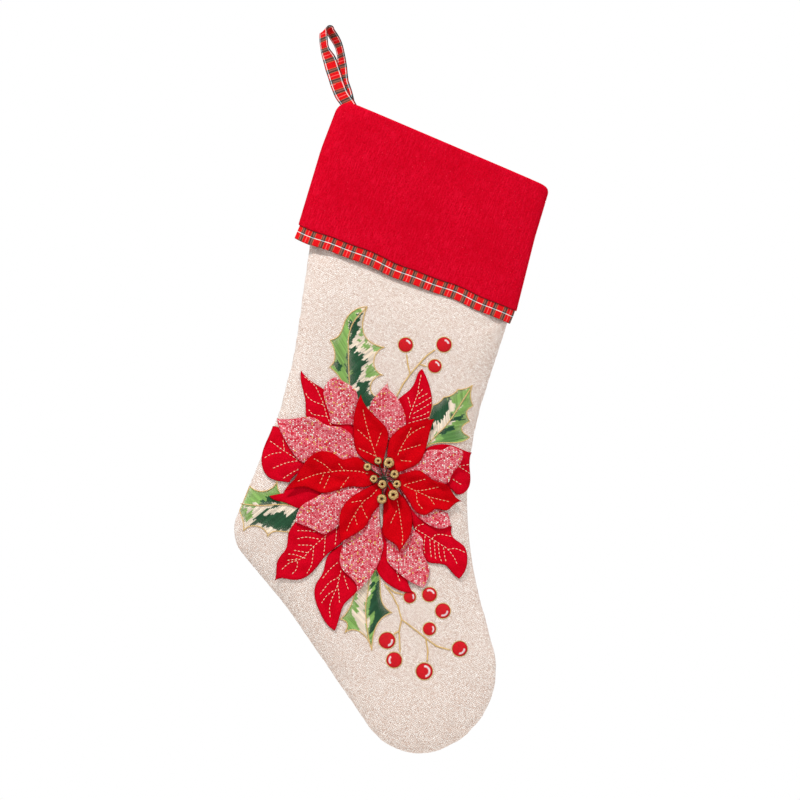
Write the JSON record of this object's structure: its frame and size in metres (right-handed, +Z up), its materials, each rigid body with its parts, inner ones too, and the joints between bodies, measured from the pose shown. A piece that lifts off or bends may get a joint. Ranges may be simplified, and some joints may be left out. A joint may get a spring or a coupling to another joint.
{
  "type": "hanging stocking",
  "caption": "Flat lined linen stocking with a folded red cuff, tartan trim, ribbon hanging loop and a layered felt poinsettia with embroidered holly and berries.",
  "frame": {"origin": "middle of the round bight in the top of the ribbon loop, where the rod of a hook sits", "axes": "+Z up as it hangs, the decorated front faces -Y, the toe points towards +X"},
  "size_m": [0.2646, 0.0393, 0.6029],
  "materials": {
    "linen": "plain woven, matt",
    "lining_cloth": "thin woven, matt",
    "red_cuff_cloth": "brushed cloth, soft sheen",
    "tartan_ribbon": "woven tartan ribbon",
    "crimson_felt": "felt, matt",
    "pink_tweed": "speckled tweed",
    "red_felt": "felt, soft sheen",
    "green_embroidery": "satin stitch",
    "berry_embroidery": "padded satin stitch",
    "gold_thread": "metallic thread",
    "gold_bead": "polished gold tone",
    "stamen_green_thread": "twisted thread"
  },
  "bodies": {
    "loop": {"hanging_loop": "tartan_ribbon"},
    "tab": {"loop_tab": "tartan_ribbon"},
    "front": {"leg_front": "linen", "lining_front": "lining_cloth", "mouth_facing_front": "red_cuff_cloth", "loop_anchor": "tartan_ribbon", "base_petal_1": "crimson_felt", "base_petal_2": "crimson_felt", "base_petal_3": "crimson_felt", "base_petal_4": "crimson_felt", "base_petal_5": "crimson_felt", "base_petal_6": "crimson_felt", "base_petal_7": "crimson_felt", "base_petal_8": "crimson_felt", "base_petal_9": "crimson_felt", "pink_petal_1": "pink_tweed", "pink_petal_2": "pink_tweed", "pink_petal_3": "pink_tweed", "pink_petal_4": "pink_tweed", "pink_petal_5": "pink_tweed", "pink_petal_6": "pink_tweed", "pink_petal_7": "pink_tweed", "pink_petal_8": "pink_tweed", "red_petal_1": "red_felt", "red_petal_2": "red_felt", "red_petal_3": "red_felt", "red_petal_4": "red_felt", "red_petal_5": "red_felt", "red_petal_6": "red_felt", "holly_leaf_1": "green_embroidery", "holly_leaf_2": "green_embroidery", "holly_leaf_3": "green_embroidery", "holly_leaf_4": "green_embroidery", "berries_upper": "berry_embroidery", "berries_lower": "berry_embroidery", "berry_stems_upper": "gold_thread", "berry_stems_lower": "gold_thread", "stamen_beads": "gold_bead", "stamen_threads": "stamen_green_thread"},
    "back": {"leg_back": "linen", "lining_back": "lining_cloth", "mouth_facing_back": "red_cuff_cloth"},
    "front_flap": {"cuff_front": "red_cuff_cloth", "trim_front": "tartan_ribbon"},
    "back_flap": {"cuff_back": "red_cuff_cloth", "trim_back": "tartan_ribbon"}
  },
  "joints": [
    {"name": "fore_aft_swing", "type": "hinge", "parent": "loop", "child": "tab", "pos_m": [0.00695, 0, -0.02505], "axis": [1, 0, 0], "range_deg": [-10, 10]},
    {"name": "side_swing", "type": "hinge", "parent": "tab", "child": "front", "pos_m": [0.01323, 0, -0.0477], "axis": [0, 1, 0], "range_deg": [-15, 15]},
    {"name": "mouth_open", "type": "hinge", "parent": "front", "child": "back", "pos_m": [0.0535, 0, -0.58936], "axis": [-0.9239, 0, 0.3827], "range_deg": [0, 6], "stiffness_Nm_per_rad": 0.8},
    {"name": "cuff_front_lift", "type": "hinge", "parent": "front", "child": "front_flap", "pos_m": [0.09437, -0.0135, -0.08565], "axis": [-0.9239, 0, 0.3827], "range_deg": [0, 12], "stiffness_Nm_per_rad": 0.03},
    {"name": "cuff_back_lift", "type": "hinge", "parent": "back", "child": "back_flap", "pos_m": [0.09437, 0.0135, -0.08565], "axis": [0.9239, 0, -0.3827], "range_deg": [0, 12], "stiffness_Nm_per_rad": 0.03}
  ]
}
